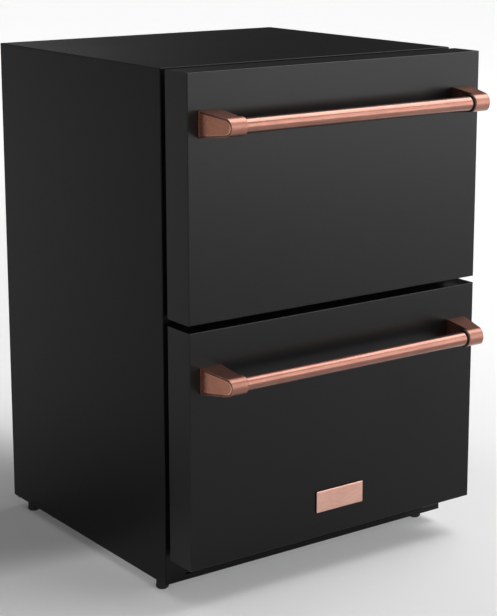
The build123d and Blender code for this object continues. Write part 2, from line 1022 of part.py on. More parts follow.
def rail_channel(near, far, half_height, y, z, web_at_wall):
    """A right-hand channel, near and far from the cabinet's side wall, with one side open."""
    x = (cavity_half - far, cavity_half - near)
    bar = block(x, y, (z - half_height, z + half_height))
    web_side = -1 if web_at_wall else 0
    bar = fillet(bar.edges().filter_by(Axis.Y).group_by(Axis.X)[web_side], rail_bend)
    inner_height = half_height - rail_steel
    hollow_x = (x[0], x[1] - rail_steel) if web_at_wall else (x[0] + rail_steel, x[1])
    return bar - block(hollow_x, y, (z - inner_height, z + inner_height))


def rail_levels():
    """How far in from the wall, and how high, each rail member starts."""
    step = rail_steel + rail_clearance
    return [(i * step, rail_height / 2 - i * step) for i in range(3)]


def outer_rails(z):
    near, half_height = rail_levels()[0]
    far = rail_width - rail_steel - rail_clearance - rail_steel
    rail = rail_channel(near, far, half_height, (rail_front, rail_back), z, True)
    return [mirrored(rail), rail]


def middle_rails(z):
    near, half_height = rail_levels()[1]
    far = rail_width - rail_steel - rail_clearance
    rail = rail_channel(near, far, half_height, (rail_front, rail_back), z, True)
    return [mirrored(rail), rail]


def inner_rails(z):
    near, half_height = rail_levels()[2]
    rail = rail_channel(near, rail_width, half_height, (panel_back, rail_back), z, False)
    tab = block(
        (tub_half, tub_half + rail_front_tab),
        (panel_back, panel_back + rail_steel),
        (z - half_height, z + half_height),
    )
    rail += tab
    return [mirrored(rail), rail]


# Drawer fronts


def front_skin(low, high):
    half = half_width
    pan = block((-half, half), (panel_face, panel_back), (low, high))
    edges = pan.faces().sort_by(Axis.Y)[0].edges()
    pan = fillet(edges, front_edge_radius)
    inside = block(
        (-half + steel, half - steel), (panel_face + steel, panel_back), (low + steel, high - steel)
    )
    return pan - inside


def front_foam(low, high):
    half = half_width - steel
    return block(
        (-half, half), (panel_face + steel, panel_back - inner_panel), (low + steel, high - steel)
    )


def gasket_ring(low, high, width, y):
    """A rectangular ring of the given width about the gasket's centre line."""
    half = half_width - gasket_inset - gasket_width / 2
    grow = width / 2
    shift = gasket_width / 2
    outer = block((-half - grow, half + grow), y, (low + shift - grow, high - shift + grow))
    inner = block((-half + grow, half - grow), y, (low + shift + grow, high - shift - grow))
    return outer - inner


def front_inner_panel(low, high, gasket_z):
    half = half_width - steel
    panel = block((-half, half), (panel_back - inner_panel, panel_back), (low + steel, high - steel))
    groove = (panel_back - gasket_groove_depth, panel_back)
    return panel - gasket_ring(*gasket_z, gasket_groove_width, groove)


def gasket(gasket_z):
    """Bellows of three wide and two narrow bands, with a barb in the inner panel's groove."""
    space = gasket_gap - moving_clearance
    barb_width = gasket_groove_width - 2 * gasket_barb_clearance
    barb = (panel_back - gasket_groove_depth + gasket_barb_clearance, panel_back)
    seal = gasket_ring(*gasket_z, barb_width, barb)
    for i in range(gasket_bands):
        width = gasket_width - (i % 2) * 2 * gasket_pleat
        y = (panel_back + i * space / gasket_bands, panel_back + (i + 1) * space / gasket_bands)
        seal += gasket_ring(*gasket_z, width, y)
    return seal


def badge_plate():
    x = (plate_middle_x - plate_width / 2, plate_middle_x + plate_width / 2)
    z = (plate_middle_z - plate_height / 2, plate_middle_z + plate_height / 2)
    plate = block(x, (panel_face - plate_thickness, panel_face), z)
    plate = fillet(plate.edges().filter_by(Axis.Y), plate_corner)
    return chamfer(plate.faces().sort_by(Axis.Y)[0].edges(), plate_chamfer)


# Handles


def bracket_outline(z, inset):
    """The bracket from the side: a base on the front, tapering to a round nose about the bar."""
    radius = handle_nose_radius - inset
    base = bracket_base_height / 2 - inset
    start = panel_face - inset
    axis_y = panel_face - handle_reach + handle_nose_radius
    run = start - axis_y
    distance = math.hypot(run, base)
    turn = math.atan2(base, run) + math.acos(radius / distance)
    touch_y = axis_y + radius * math.cos(turn)
    touch_z = radius * math.sin(turn)
    top = Line((0, start, z + base), (0, touch_y, z + touch_z))
    nose = ThreePointArc((0, touch_y, z + touch_z), (0, axis_y - radius, z), (0, touch_y, z - touch_z))
    bottom = Line((0, touch_y, z - touch_z), (0, start, z - base))
    back = Line((0, start, z - base), (0, start, z + base))
    return make_face([top, nose, bottom, back])


def bracket_prism(z, inset, x):
    """The bracket's side outline drawn out along X."""
    return Pos(x[0], 0, 0) * extrude(bracket_outline(z, inset), amount=x[1] - x[0], dir=(1, 0, 0))


def bracket_end_slab(z, low, high):
    """A slab along the bracket's slanted outer end, between two depths measured inwards."""
    slope = math.degrees(math.atan2(bracket_slant, handle_reach))
    size = 4 * handle_reach
    slab = Pos((low - high) / 2 - low, 0, 0) * Box(high - low, size, size)
    return Pos(bracket_outer, panel_face, z) * Rot(Z=-slope) * slab


def handle_bracket(z):
    """Right-hand bracket: a slanted post and a collar round the end of the bar."""
    axis_y = panel_face - handle_reach + handle_nose_radius
    outside = bracket_outer + handle_nose_radius
    post = bracket_prism(z, 0, (bracket_inner, outside))
    collar = rod_x(handle_nose_radius, (collar_inner, outside), axis_y, z)
    collar = chamfer(collar.edges().filter_by(GeomType.CIRCLE).group_by(Axis.X)[0], collar_chamfer)
    body = post + collar
    body -= bracket_end_slab(z, -4 * handle_nose_radius, 0)
    recess = bracket_prism(z, cap_rim, (bracket_inner, outside))
    body -= recess & bracket_end_slab(z, 0, cap_thickness)
    seat = (collar_inner, collar_inner + bar_seat_depth + bar_clearance)
    return body - rod_x(handle_bar_radius + bar_clearance, seat, axis_y, z)


def handle_cap(z):
    """Right-hand cap: a D-shaped plate let into the bracket's end, with a groove round it."""
    outside = bracket_outer + handle_nose_radius
    plate = bracket_prism(z, cap_rim + cap_groove, (bracket_inner, outside))
    return plate & bracket_end_slab(z, 0, cap_thickness)


def handle_bar(z):
    axis_y = panel_face - handle_reach + handle_nose_radius
    end = collar_inner + bar_seat_depth
    return rod_x(handle_bar_radius, (-end, end), axis_y, z)


# Tubs and dividers


def rounded_well(y, z, inset, open_top):
    """A well with round corners and a round floor edge, made smaller by a wall."""
    half = tub_half - inset
    low = z[0] + inset
    body = block((-half, half), (y[0] + inset, y[1] - inset), (low, z[1] + open_top))
    body = fillet(body.edges().filter_by(Axis.Z), tub_corner - inset)
    return fillet(body.faces().sort_by(Axis.Z)[0].edges(), tub_floor_radius - inset)


def tub_rim_ring(z):
    """The rim that stands out over the rails, on both sides and at the back."""
    half = tub_half + tub_rim
    ring = block((-half, half), (panel_back, tub_back + tub_rear_rim), z)
    edges = ring.edges().filter_by(Axis.Z).group_by(Axis.Y)[-1]
    return fillet(edges, tub_corner)


def upper_tub_space(inset, open_top=0.0):
    z = (mullion_high + tub_floor_clearance, upper_rim_z)
    return rounded_well((panel_back, tub_back), z, inset, open_top)


def lower_tub_space(inset, open_top=0.0):
    well = (panel_back, hump_y - well_clearance)
    whole = (panel_back, tub_back)
    low = cavity_floor + tub_floor_clearance
    shelf = hump_top + tub_floor_clearance
    deep = rounded_well(well, (low, lower_rim_z), inset, open_top)
    return deep + rounded_well(whole, (shelf, lower_rim_z), inset, open_top)


def tub(space, rim_z):
    rim = tub_rim_ring((rim_z - tub_wall, rim_z))
    return space(0) + rim - space(tub_wall, tub_wall)


def divider(place, floor, rim_z):
    """A slotted plate across the tub that hangs on both rims by its ears."""
    y = cabinet_front + place
    half = tub_half - tub_wall - divider_clearance
    thick = (y - divider_thickness / 2, y + divider_thickness / 2)
    low = floor + tub_wall + divider_clearance
    plate = block((-half, half), thick, (low, rim_z + moving_clearance))
    plate = fillet(plate.edges().filter_by(Axis.Y).group_by(Axis.Z)[0], tub_floor_radius)
    ear_half = tub_half + tub_rim
    ears = block(
        (-ear_half, ear_half),
        (y - divider_ear_length / 2, y + divider_ear_length / 2),
        (rim_z + moving_clearance, rim_z + moving_clearance + divider_ear_height),
    )
    plate += ears
    pitch = 2 * half / (divider_slots + 1)
    for i in range(divider_slots):
        x = -half + (i + 1) * pitch
        plate -= block(
            (x - divider_slot_width / 2, x + divider_slot_width / 2),
            thick,
            (low + divider_slot_margin, rim_z - divider_slot_margin),
        )
    return plate


# Heights of the rails and of the tub rims that rest above them
upper_rail_z = front_top - upper_rail_drop
lower_rail_z = lower_front_top - lower_rail_drop
rim_rise = rail_height / 2 + tub_rim_clearance + tub_wall
upper_rim_z = upper_rail_z + rim_rise
lower_rim_z = lower_rail_z + rim_rise
upper_tub_floor = mullion_high + tub_floor_clearance
lower_tub_floor = cavity_floor + tub_floor_clearance

# Heights between which each gasket lies
upper_gasket_z = (upper_front_bottom + gasket_edge, front_top - gasket_inset)
lower_gasket_z = (front_bottom + gasket_bottom, lower_front_top - gasket_edge)


def drawer(name, low, high, gasket_z, rail_z):
    """The front, gasket, handle and rails of one drawer."""
    handle_z = high - handle_drop
    bracket = handle_bracket(handle_z)
    cap = handle_cap(handle_z)
    return {
        name + "_front_skin": front_skin(low, high),
        name + "_front_foam": front_foam(low, high),
        name + "_front_inner_panel": front_inner_panel(low, high, gasket_z),
        name + "_gasket": gasket(gasket_z),
        name + "_handle_bar": handle_bar(handle_z),
        name + "_handle_bracket_left": mirrored(bracket),
        name + "_handle_bracket_right": bracket,
        name + "_handle_caps": [mirrored(cap), cap],
        name + "_outer_rails": outer_rails(rail_z),
        name + "_middle_rails": middle_rails(rail_z),
        name + "_inner_rails": inner_rails(rail_z),
    }


pieces = {
    "cabinet_wrap": cabinet_wrap(),
    "cabinet_foam": cabinet_foam(),
    "inner_liner": inner_liner(),
    "mullion_bar": mullion_bar(),
    "bottom_bar": bottom_bar(),
    "rear_panel": rear_panel(),
    "cord_inlet": cord_inlet(),
    "base_pan": base_pan(),
    "base_screws": base_screws(),
    "toe_kick_plate": toe_kick_plate(),
    "toe_grille": toe_grille(),
    "compressor": compressor(),
    "compressor_mounts": compressor_mounts(),
    "drain_pan": drain_pan(),
    "condenser_coil": condenser_coil(),
    "condenser_fan_shroud": fan_shroud(),
    "condenser_fan_motor": condenser_fan_motor(),
    "condenser_fan_blade": condenser_fan_blade(),
    "refrigerant_lines": refrigerant_lines(),
    "evaporator_coil": evaporator_coil(),
    "defrost_heater": defrost_heater(),
    "evaporator_fan_motor": evaporator_fan_motor(),
    "evaporator_fan_blade": evaporator_fan_blade(),
    "evaporator_cover": evaporator_cover(),
    "control_panel": control_panel(),
    "button_power": control_button(0),
    "button_colder": control_button(1),
    "button_warmer": control_button(2),
    "led_lamp": led_lamp(),
    "badge_plate": badge_plate(),
    "upper_tub": tub(upper_tub_space, upper_rim_z),
    "lower_tub": tub(lower_tub_space, lower_rim_z),
    "upper_divider": divider(upper_divider_place, upper_tub_floor, upper_rim_z),
    "lower_divider": divider(lower_divider_place, lower_tub_floor, lower_rim_z),
}
for leg_name, leg_place in leg_places().items():
    pieces[leg_name] = levelling_leg(*leg_place)
pieces.update(drawer("upper", upper_front_bottom, front_top, upper_gasket_z, upper_rail_z))
pieces.update(drawer("lower", front_bottom, lower_front_top, lower_gasket_z, lower_rail_z))

os.makedirs("parts", exist_ok=True)
for piece_name, piece in pieces.items():
    solids = piece if isinstance(piece, list) else [piece]
    group = [solid for member in solids for solid in member.solids()]
    export_step(Compound(children=group), os.path.join("parts", piece_name + ".step"))
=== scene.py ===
import bmesh
import bpy
import math
from mathutils import Matrix, Vector


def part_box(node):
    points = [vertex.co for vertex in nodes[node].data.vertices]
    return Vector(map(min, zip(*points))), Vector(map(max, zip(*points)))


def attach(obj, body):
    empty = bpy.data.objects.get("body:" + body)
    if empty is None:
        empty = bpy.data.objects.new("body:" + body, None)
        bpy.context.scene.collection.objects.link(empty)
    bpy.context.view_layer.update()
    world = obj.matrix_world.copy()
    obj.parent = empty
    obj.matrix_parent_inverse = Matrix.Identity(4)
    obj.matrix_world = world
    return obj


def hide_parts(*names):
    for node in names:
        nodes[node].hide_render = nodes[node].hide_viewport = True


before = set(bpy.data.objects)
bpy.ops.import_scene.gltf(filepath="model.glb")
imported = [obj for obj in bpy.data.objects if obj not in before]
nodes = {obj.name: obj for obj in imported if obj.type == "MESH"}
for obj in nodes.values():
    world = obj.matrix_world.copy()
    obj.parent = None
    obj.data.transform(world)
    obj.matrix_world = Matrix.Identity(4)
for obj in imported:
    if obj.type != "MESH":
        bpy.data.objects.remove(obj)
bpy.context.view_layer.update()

# Camera. It stands in front of the left corner, a little above the top, as in the photograph.
# The lens is long, so the sides narrow only a little.
camera_place = (-1.69908, -2.38538, 1.14861)
camera_turn = 0.627983
camera_tilt = -0.206556
camera = bpy.data.objects.new("camera", bpy.data.cameras.new("camera"))
camera.data.lens = 98.4
camera.data.shift_x = -0.02
camera.data.shift_y = -0.11
camera.location = camera_place
camera.rotation_euler = (math.pi / 2 + camera_tilt, 0.0, -camera_turn)
bpy.context.scene.collection.objects.link(camera)
bpy.context.scene.camera = camera
bpy.context.scene.view_settings.view_transform = "Standard"

# Studio. A pale matt floor and pale walls, with two large softboxes on the right and a small one
# behind. Three corners of the room are unlit, and the floor's paint and glow are darker towards
# the back left, as painted shade, because the black coat is seen by what it mirrors. The floor
# glows more far off, so it is white there, and keeps the object's shadow.
unlit_corners = (((-0.62, 0.78), 0.85), ((0.82, 0.57), 0.93), ((0.63, -0.78), 0.75))  # heading, loss
corner_start, corner_end = 0.74, 0.94
# height of the direction on a unit sphere, brightness of the wall or ceiling there
wall_brightness = ((0.0, 0.85), (0.16, 0.8), (0.3, 0.12), (0.5, 0.12), (0.8, 0.25), (1.0, 0.3))
floor_size, floor_roughness, mottles_per_metre = 80.0, 0.9, 0.5
painted_shade_heading, glow_loss, painted_shade_loss = (-0.72, 0.69), 0.55, 0.4
near_distance, far_distance = 0.9, 6.0
floor_glow_near, floor_glow_far = 0.12, 0.72
lamp_target = Vector((0.0, 0.0, 0.45))


def linear(code):
    """Linear colour, with alpha, from an sRGB hex code."""
    shares = [int(code[i:i + 2], 16) / 255 for i in (1, 3, 5)]
    return [s / 12.92 if s <= 0.04045 else ((s + 0.055) / 1.055) ** 2.4 for s in shares] + [1.0]


def add_node(tree, kind, inputs=None, **settings):
    """Adds a node with its settings. Each input takes a value or another node's output."""
    made = tree.nodes.new(kind)
    for name, value in settings.items():
        setattr(made, name, value)
    for key, value in (inputs or {}).items():
        if isinstance(value, bpy.types.NodeSocket):
            tree.links.new(value, made.inputs[key])
        else:
            made.inputs[key].default_value = value
    return made


def shaded(tree, course, heading, depth):
    """A factor that falls from 1 to 1 - depth as a course turns towards an unlit corner."""
    facing = add_node(tree, "ShaderNodeVectorMath", {0: course, 1: (*heading, 0.0)},
                      operation="DOT_PRODUCT")
    fall = add_node(tree, "ShaderNodeMapRange", {"Value": facing.outputs["Value"],
                                                 "From Min": corner_start, "From Max": corner_end,
                                                 "To Min": 1.0, "To Max": 1.0 - depth},
                    interpolation_type="SMOOTHSTEP")
    return fall.outputs[0]


world = bpy.data.worlds.new("studio_room")
bpy.context.scene.world = world
world.use_nodes = True
tree = world.node_tree
tree.nodes.clear()
around = add_node(tree, "ShaderNodeTexCoord").outputs["Generated"]
parts = add_node(tree, "ShaderNodeSeparateXYZ", {0: around})
height = add_node(tree, "ShaderNodeValToRGB", {"Fac": parts.outputs["Z"]})
height.color_ramp.elements.remove(height.color_ramp.elements[1])
for spot, value in wall_brightness:
    stop = height.color_ramp.elements[0] if spot == 0.0 else height.color_ramp.elements.new(spot)
    stop.color = (value, value, value, 1.0)
dim = 1.0
for heading, depth in unlit_corners:
    dim = add_node(tree, "ShaderNodeMath", {0: dim, 1: shaded(tree, around, heading, depth)},
                   operation="MULTIPLY").outputs[0]
backdrop = add_node(tree, "ShaderNodeBackground", {"Color": height.outputs[0], "Strength": dim})
add_node(tree, "ShaderNodeOutputWorld", {"Surface": backdrop.outputs[0]})

floor_mesh = bpy.data.meshes.new("studio_floor")
shape = bmesh.new()
bmesh.ops.create_grid(shape, x_segments=4, y_segments=4, size=floor_size / 2)
shape.to_mesh(floor_mesh)
shape.free()
floor = bpy.data.objects.new("studio_floor", floor_mesh)
bpy.context.scene.collection.objects.link(floor)
floor_paint = bpy.data.materials.new("matt_studio_paint")
floor_paint.use_nodes = True
tree = floor_paint.node_tree
tree.nodes.clear()
around = add_node(tree, "ShaderNodeTexCoord").outputs["Object"]
distance = add_node(tree, "ShaderNodeVectorMath", {0: around}, operation="LENGTH")
course = add_node(tree, "ShaderNodeVectorMath", {0: around}, operation="NORMALIZE").outputs["Vector"]
glow = add_node(tree, "ShaderNodeMapRange", {"Value": distance.outputs["Value"],
                                             "From Min": near_distance, "From Max": far_distance,
                                             "To Min": floor_glow_near, "To Max": floor_glow_far},
                interpolation_type="SMOOTHSTEP")
# The floor's glow is weaker towards the back left: painted shade.
glow = add_node(tree, "ShaderNodeMath", {
    0: glow.outputs[0], 1: shaded(tree, course, painted_shade_heading, glow_loss)}, operation="MULTIPLY")
rays = add_node(tree, "ShaderNodeLightPath").outputs
seen = rays["Is Camera Ray"]
for kind in ("Is Glossy Ray", "Is Transmission Ray"):
    seen = add_node(tree, "ShaderNodeMath", {0: seen, 1: rays[kind]}, operation="MAXIMUM").outputs[0]
glow = add_node(tree, "ShaderNodeMath", {0: glow.outputs[0], 1: seen}, operation="MULTIPLY")
mottle = add_node(tree, "ShaderNodeTexNoise", {"Vector": around, "Scale": mottles_per_metre})
tint = add_node(tree, "ShaderNodeValToRGB", {"Fac": mottle.outputs["Fac"]})
tint.color_ramp.elements[0].color = linear("#f0f0f0")
tint.color_ramp.elements[1].color = linear("#f6f6f6")
# The floor's paint is darker towards the back left: painted shade.
tint = add_node(tree, "ShaderNodeVectorMath", {
    0: tint.outputs[0], "Scale": shaded(tree, course, painted_shade_heading, painted_shade_loss)}, operation="SCALE")
matt = add_node(tree, "ShaderNodeBsdfDiffuse", {"Color": tint.outputs[0], "Roughness": floor_roughness})
shine = add_node(tree, "ShaderNodeEmission", {"Color": linear("#ffffff"), "Strength": glow.outputs[0]})
both = add_node(tree, "ShaderNodeAddShader", {0: matt.outputs[0], 1: shine.outputs[0]})
add_node(tree, "ShaderNodeOutputMaterial", {"Surface": both.outputs[0]})
floor_mesh.materials.append(floor_paint)

for lamp_name, place, size, power in (
    ("front_right_softbox", (2.6, -3.4, 1.55), 3.0, 75.0),
    ("overhead_right_softbox", (1.6, -0.5, 3.1), 2.4, 80.0),
    ("rear_rim_softbox", (-1.6, 2.1, 2.8), 1.2, 16.0),
):
    lamp = bpy.data.objects.new(lamp_name, bpy.data.lights.new(lamp_name, "AREA"))
    lamp.data.shape = "SQUARE"
    lamp.data.size = size
    lamp.data.energy = power
    lamp.location = place
    aim = lamp_target - Vector(place)
    lamp.rotation_euler = aim.to_track_quat("-Z", "Y").to_euler()
    bpy.context.scene.collection.objects.link(lamp)

# Cabinet shell. Folded steel sheet, powder-coated satin black: the wrap goes round the top and
# both sides, the toe plate closes the base and two bars cross the opening. The coat is smooth
# with a faint orange-peel relief, so it shows soft, dark reflections. On the wrap it is a slightly
# darker copy with a lower IOR, so its reflections are fainter: painted shade that keeps the sides
# darker than the fronts.


def finish(name, dark, light, grain, rough, bump=0.05, stretch=(1.0, 1.0, 1.0), depth=0.0002, **shader):
    """A finish whose colour, roughness and relief follow a grain of the given size in metres."""
    low, high, clouds_per_metre = 0.3, 0.7, 6.0
    material = bpy.data.materials.new(name)
    material.use_nodes = True
    tree = material.node_tree
    tree.nodes.clear()
    place = add_node(tree, "ShaderNodeTexCoord")
    scale = [1 / (grain * s) for s in stretch]
    fitted = add_node(tree, "ShaderNodeMapping", {"Vector": place.outputs["Object"], "Scale": scale})
    fine = add_node(tree, "ShaderNodeTexNoise", {"Vector": fitted.outputs[0], "Scale": 1.0,
                                                 "Detail": 3.0})
    broad = add_node(tree, "ShaderNodeTexNoise", {"Vector": place.outputs["Object"],
                                                  "Scale": clouds_per_metre})
    both = add_node(tree, "ShaderNodeMix", {"Factor": 0.5, "A": fine.outputs["Fac"],
                                            "B": broad.outputs["Fac"]})
    ramp = add_node(tree, "ShaderNodeValToRGB", {"Fac": both.outputs[0]})
    for stop, spot, code in zip(ramp.color_ramp.elements, (low, high), (dark, light)):
        stop.position = spot
        stop.color = linear(code)
    sheen = add_node(tree, "ShaderNodeMapRange", {"Value": both.outputs[0], "From Min": low,
                                                  "From Max": high, "To Min": rough[0],
                                                  "To Max": rough[1]})
    relief = add_node(tree, "ShaderNodeBump", {"Height": fine.outputs["Fac"], "Strength": bump,
                                               "Distance": depth})
    inputs = {"Base Color": ramp.outputs[0], "Roughness": sheen.outputs[0], "Normal": relief.outputs[0]}
    inputs.update(shader)
    skin = add_node(tree, "ShaderNodeBsdfPrincipled", inputs)
    add_node(tree, "ShaderNodeOutputMaterial", {"Surface": skin.outputs[0]})
    return material


def dress(material, *names):
    """Gives CAD nodes a material in place of their plain one."""
    for name in names:
        mesh = nodes[name].data
        mesh.materials.clear()
        mesh.materials.append(material)


black_coat = finish("satin_black_powder_coat", "#070708", "#0b0b0c", 0.0015, (0.26, 0.32), bump=0.04,
                    IOR=1.33)
dress(black_coat, "toe_kick_plate", "mullion_bar", "bottom_bar", "upper_front_skin", "lower_front_skin")
# The wrap's coat is a darker copy of the fronts' coat: painted shade.
shaded_wrap_coat = finish("satin_black_coat_painted_darker_on_wrap", "#050506", "#080809", 0.0015, (0.26, 0.32), bump=0.04,
                   IOR=1.23)
dress(shaded_wrap_coat, "cabinet_wrap")

# Insulation and liner. Polyurethane foam sets between the steel and a vacuum-formed white
# polystyrene liner. The foam is closed in all round; the liner is glossy and slightly wavy.
foam = finish("rigid_polyurethane_foam", "#d8c890", "#e8dcb0", 0.002, (0.85, 0.95), bump=0.5)
dress(foam, "cabinet_foam", "upper_front_foam", "lower_front_foam")
white_liner = finish("vacuum_formed_polystyrene", "#e6e8e9", "#f0f1f1", 0.02, (0.22, 0.32), bump=0.05)
dress(white_liner, "inner_liner", "upper_front_inner_panel", "lower_front_inner_panel")

# Rear panel and base pan. Plain galvanised sheet, whose zinc has grown in spangles about
# 7 mm across that catch the light differently.
spangles_per_metre, streaks_per_metre = 140.0, 30.0
galvanised = bpy.data.materials.new("galvanised_sheet")
galvanised.use_nodes = True
tree = galvanised.node_tree
tree.nodes.clear()
place = add_node(tree, "ShaderNodeTexCoord")
spangle = add_node(tree, "ShaderNodeTexVoronoi", {"Vector": place.outputs["Object"],
                                                  "Scale": spangles_per_metre})
streak = add_node(tree, "ShaderNodeTexNoise", {"Vector": place.outputs["Object"],
                                               "Scale": streaks_per_metre, "Detail": 4.0})
ramp = add_node(tree, "ShaderNodeValToRGB", {"Fac": spangle.outputs["Color"]})
ramp.color_ramp.elements[0].color = linear("#a3a6a8")
ramp.color_ramp.elements[1].color = linear("#b9bcbe")
sheen = add_node(tree, "ShaderNodeMapRange", {"Value": streak.outputs["Fac"], "To Min": 0.34,
                                              "To Max": 0.52})
relief = add_node(tree, "ShaderNodeBump", {"Height": spangle.outputs["Distance"], "Strength": 0.08,
                                           "Distance": 0.0002})
skin = add_node(tree, "ShaderNodeBsdfPrincipled", {
    "Base Color": ramp.outputs[0], "Roughness": sheen.outputs[0], "Normal": relief.outputs[0],
    "Metallic": 1.0})
add_node(tree, "ShaderNodeOutputMaterial", {"Surface": skin.outputs[0]})
dress(galvanised, "rear_panel", "base_pan", "condenser_fan_shroud")

# Rear panel screws. Zinc-plated sheet-metal screws with a hexagon head on a washer flange,
# in two columns and one row near the panel's edges.
screw_flange, flange_edge, flange_top = 0.0052, 0.0008, 0.001
screw_head, screw_height, head_bevel, head_taper = 0.0036, 0.0032, 0.0005, 0.85
screw_margin, screws_up = 0.014, 6
zinc = finish("bright_zinc_plating", "#a9aba6", "#c9cbc4", 0.001, (0.25, 0.38), Metallic=1.0)
dress(zinc, "base_screws")


def lathe(name, profile, sides):
    """A turned mesh about Y from radius, y pairs, closed where the radius is zero."""
    shape = bmesh.new()
    rings = []
    for radius, y in profile:
        count = 1 if radius == 0 else sides
        turns = [2 * math.pi * i / sides for i in range(count)]
        rings.append([shape.verts.new((radius * math.cos(t), y, radius * math.sin(t))) for t in turns])
    for first, second in zip(rings, rings[1:]):
        for i in range(sides):
            j = (i + 1) % sides
            corners = [first[i % len(first)], first[j % len(first)],
                       second[j % len(second)], second[i % len(second)]]
            shape.faces.new(list(dict.fromkeys(corners)))
    bmesh.ops.recalc_face_normals(shape, faces=shape.faces)
    mesh = bpy.data.meshes.new(name)
    shape.to_mesh(mesh)
    shape.free()
    return mesh


def grid_tree():
    """Copies one shape over a grid with two steps; its sizes are the modifier's inputs."""
    tree = bpy.data.node_groups.new("copies_on_a_grid", "GeometryNodeTree")
    for name, kind in (("Shape", "NodeSocketObject"), ("Material", "NodeSocketMaterial"),
                       ("Start", "NodeSocketVector"), ("Step", "NodeSocketVector"),
                       ("Count", "NodeSocketInt"), ("Row Step", "NodeSocketVector"),
                       ("Row Count", "NodeSocketInt")):
        tree.interface.new_socket(name, in_out="INPUT", socket_type=kind)
    tree.interface.new_socket("Geometry", in_out="OUTPUT", socket_type="NodeSocketGeometry")
    given = add_node(tree, "NodeGroupInput").outputs
    line = add_node(tree, "GeometryNodeMeshLine", {"Count": given["Count"], "Offset": given["Step"],
                                                   "Start Location": given["Start"]})
    row = add_node(tree, "GeometryNodeMeshLine", {"Count": given["Row Count"],
                                                  "Offset": given["Row Step"]})
    spots = add_node(tree, "GeometryNodeInstanceOnPoints", {"Points": line.outputs[0],
                                                            "Instance": row.outputs[0]})
    spots = add_node(tree, "GeometryNodeRealizeInstances", {0: spots.outputs[0]})
    source = add_node(tree, "GeometryNodeObjectInfo", {"Object": given["Shape"]})
    copies = add_node(tree, "GeometryNodeInstanceOnPoints", {"Points": spots.outputs[0],
                                                             "Instance": source.outputs["Geometry"]})
    solid = add_node(tree, "GeometryNodeRealizeInstances", {0: copies.outputs[0]})
    painted = add_node(tree, "GeometryNodeSetMaterial", {0: solid.outputs[0],
                                                         "Material": given["Material"]})
    add_node(tree, "NodeGroupOutput", {0: painted.outputs[0]})
    return tree


copies_on_a_grid = grid_tree()


def repeat(name, mesh, material, body, start, step=(0, 0, 0), count=1,
           row_step=(0, 0, 0), row_count=1):
    """Copies of a mesh on a grid, kept as one plain mesh that rides on a body."""
    source = bpy.data.objects.new(name + "_shape", mesh)
    piece = bpy.data.objects.new(name, bpy.data.meshes.new(name))
    for made in (source, piece):
        bpy.context.scene.collection.objects.link(made)
    modifier = piece.modifiers.new("grid", "NODES")
    modifier.node_group = copies_on_a_grid
    values = {"Shape": source, "Material": material, "Start": start, "Step": step, "Count": count,
              "Row Step": row_step, "Row Count": row_count}
    for item in copies_on_a_grid.interface.items_tree:
        if item.in_out == "INPUT":
            modifier[item.identifier] = values[item.name]
    bpy.context.view_layer.update()
    graph = bpy.context.evaluated_depsgraph_get()
    result = bpy.data.meshes.new_from_object(piece.evaluated_get(graph))
    piece.modifiers.clear()
    piece.data = result
    bpy.data.objects.remove(source)
    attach(piece, body)
    return piece


panel_low, panel_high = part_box("rear_panel")
flange = lathe("screw_flange", [(0, 0), (screw_flange, 0), (screw_flange, flange_edge),
                                (screw_head, flange_top), (0, flange_top)], 20)
hexagon = lathe("screw_hexagon", [(0, head_bevel), (screw_head, head_bevel),
                                  (screw_head, screw_height - head_bevel),
                                  (screw_head * head_taper, screw_height), (0, screw_height)], 6)
shape = bmesh.new()
shape.from_mesh(flange)
shape.from_mesh(hexagon)
head = bpy.data.meshes.new("screw_head")
shape.to_mesh(head)
shape.free()
span_x = panel_high.x - panel_low.x - 2 * screw_margin
span_z = panel_high.z - panel_low.z - 2 * screw_margin
repeat("rear_panel_screws", head, zinc, "cabinet",
       (panel_low.x + screw_margin, panel_high.y, panel_low.z + screw_margin),
       (0, 0, span_z / (screws_up - 1)), screws_up, (span_x, 0, 0), 2)
repeat("rear_panel_top_screws", head, zinc, "cabinet",
       (panel_low.x + screw_margin + span_x / 4, panel_high.y, panel_high.z - screw_margin),
       (span_x / 4, 0, 0), 3)

# Inlet, grille and feet. Moulded black ABS with a fine spark-eroded grain. The inlet's three
# contacts are turned brass sleeves, plated, two for the lines and one above for earth.
black_abs = finish("spark_grained_black_abs", "#0c0c0c", "#141414", 0.0006, (0.5, 0.62), bump=0.2)
dress(black_abs, "cord_inlet", "toe_grille", "drain_pan", "condenser_fan_blade",
      "levelling_leg_front_left", "levelling_leg_front_right",
      "levelling_leg_rear_left", "levelling_leg_rear_right")
brass = finish("plated_brass", "#b9a468", "#d6c384", 0.001, (0.2, 0.3), Metallic=1.0)
inlet_low, inlet_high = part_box("cord_inlet")
inlet_middle = (inlet_low + inlet_high) / 2
pin_radius, pin_length, pin_bevel, pin_set_back = 0.002, 0.0125, 0.001, 0.016
pin_side, line_drop, earth_rise = 0.007, 0.002, 0.003
pin = lathe("inlet_pin", [(0, 0), (pin_radius, 0), (pin_radius, pin_length - pin_bevel),
                          (pin_radius * 0.6, pin_length), (0, pin_length)], 12)
pin_start = inlet_high.y - pin_set_back
repeat("inlet_line_pins", pin, brass, "cabinet",
       (inlet_middle.x - pin_side, pin_start, inlet_middle.z - line_drop), (2 * pin_side, 0, 0), 2)
repeat("inlet_earth_pin", pin, brass, "cabinet",
       (inlet_middle.x, pin_start, inlet_middle.z + earth_rise))

